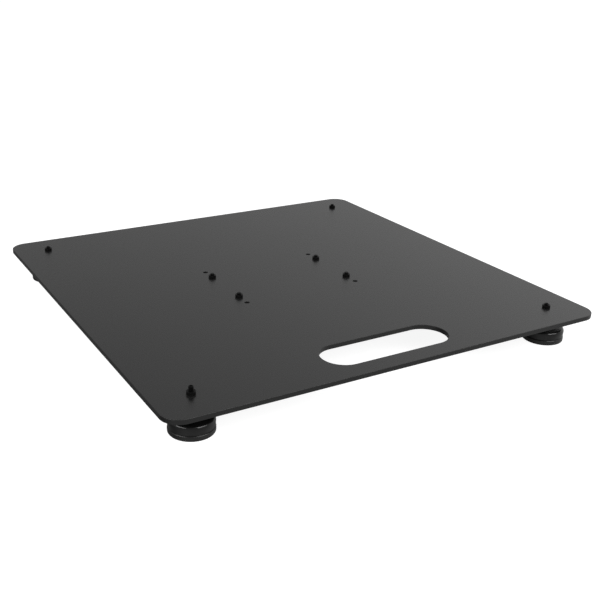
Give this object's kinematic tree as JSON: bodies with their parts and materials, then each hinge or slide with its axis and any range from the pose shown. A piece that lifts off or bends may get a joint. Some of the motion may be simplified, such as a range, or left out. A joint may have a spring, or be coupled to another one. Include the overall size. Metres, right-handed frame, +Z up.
{
  "type": "stage stand floor plate",
  "caption": "Square powder-coated steel floor plate with a hand slot, adjustable round feet under its corners and bolts for an upright at its middle.",
  "frame": {"origin": "on the floor, under the middle of the plate", "axes": "+Z up; +X to the right along the edge with the hand slot; the hand slot is at -Y"},
  "size_m": [0.6, 0.6, 0.0523],
  "materials": {
    "powder_coat": "fine matte black powder coat",
    "black_steel": "black oxide, satin",
    "gloss_plastic": "gloss black, injection moulded",
    "rubber": "smooth black rubber, semi-gloss"
  },
  "bodies": {
    "plate": {"base_plate": "powder_coat", "lock_nut_front_left": "black_steel", "centre_bolt_front_left": "black_steel", "centre_washer_front_left": "black_steel", "centre_nut_front_left": "black_steel", "lock_nut_front_right": "black_steel", "centre_bolt_front_right": "black_steel", "centre_washer_front_right": "black_steel", "centre_nut_front_right": "black_steel", "lock_nut_back_left": "black_steel", "centre_bolt_back_left": "black_steel", "centre_washer_back_left": "black_steel", "centre_nut_back_left": "black_steel", "lock_nut_back_right": "black_steel", "centre_bolt_back_right": "black_steel", "centre_washer_back_right": "black_steel", "centre_nut_back_right": "black_steel"},
    "foot_front_left": {"foot_body_front_left": "gloss_plastic", "foot_pad_front_left": "rubber", "foot_retainer_front_left": "black_steel"},
    "stud_front_left": {"foot_stud_front_left": "black_steel"},
    "foot_front_right": {"foot_body_front_right": "gloss_plastic", "foot_pad_front_right": "rubber", "foot_retainer_front_right": "black_steel"},
    "stud_front_right": {"foot_stud_front_right": "black_steel"},
    "foot_back_left": {"foot_body_back_left": "gloss_plastic", "foot_pad_back_left": "rubber", "foot_retainer_back_left": "black_steel"},
    "stud_back_left": {"foot_stud_back_left": "black_steel"},
    "foot_back_right": {"foot_body_back_right": "gloss_plastic", "foot_pad_back_right": "rubber", "foot_retainer_back_right": "black_steel"},
    "stud_back_right": {"foot_stud_back_right": "black_steel"}
  },
  "joints": [
    {"name": "foot_lift_front_left", "type": "slide", "parent": "plate", "child": "foot_front_left", "axis": [0, 0, 1], "range_m": [-0.002, 0.012]},
    {"name": "stud_turn_front_left", "type": "hinge", "parent": "foot_front_left", "child": "stud_front_left", "pos_m": [-0.2535, -0.2535, 0], "axis": [0, 0, 1], "range_deg": [-720, 4320]},
    {"name": "foot_lift_front_right", "type": "slide", "parent": "plate", "child": "foot_front_right", "axis": [0, 0, 1], "range_m": [-0.002, 0.012]},
    {"name": "stud_turn_front_right", "type": "hinge", "parent": "foot_front_right", "child": "stud_front_right", "pos_m": [0.2535, -0.2535, 0], "axis": [0, 0, 1], "range_deg": [-720, 4320]},
    {"name": "foot_lift_back_left", "type": "slide", "parent": "plate", "child": "foot_back_left", "axis": [0, 0, 1], "range_m": [-0.002, 0.012]},
    {"name": "stud_turn_back_left", "type": "hinge", "parent": "foot_back_left", "child": "stud_back_left", "pos_m": [-0.2535, 0.2535, 0], "axis": [0, 0, 1], "range_deg": [-720, 4320]},
    {"name": "foot_lift_back_right", "type": "slide", "parent": "plate", "child": "foot_back_right", "axis": [0, 0, 1], "range_m": [-0.002, 0.012]},
    {"name": "stud_turn_back_right", "type": "hinge", "parent": "foot_back_right", "child": "stud_back_right", "pos_m": [0.2535, 0.2535, 0], "axis": [0, 0, 1], "range_deg": [-720, 4320]}
  ],
  "couplings": [
    {"joint": "stud_turn_front_left", "follows": "foot_lift_front_left", "rad_per_m": 6283.2},
    {"joint": "stud_turn_front_right", "follows": "foot_lift_front_right", "rad_per_m": 6283.2},
    {"joint": "stud_turn_back_left", "follows": "foot_lift_back_left", "rad_per_m": 6283.2},
    {"joint": "stud_turn_back_right", "follows": "foot_lift_back_right", "rad_per_m": 6283.2}
  ]
}
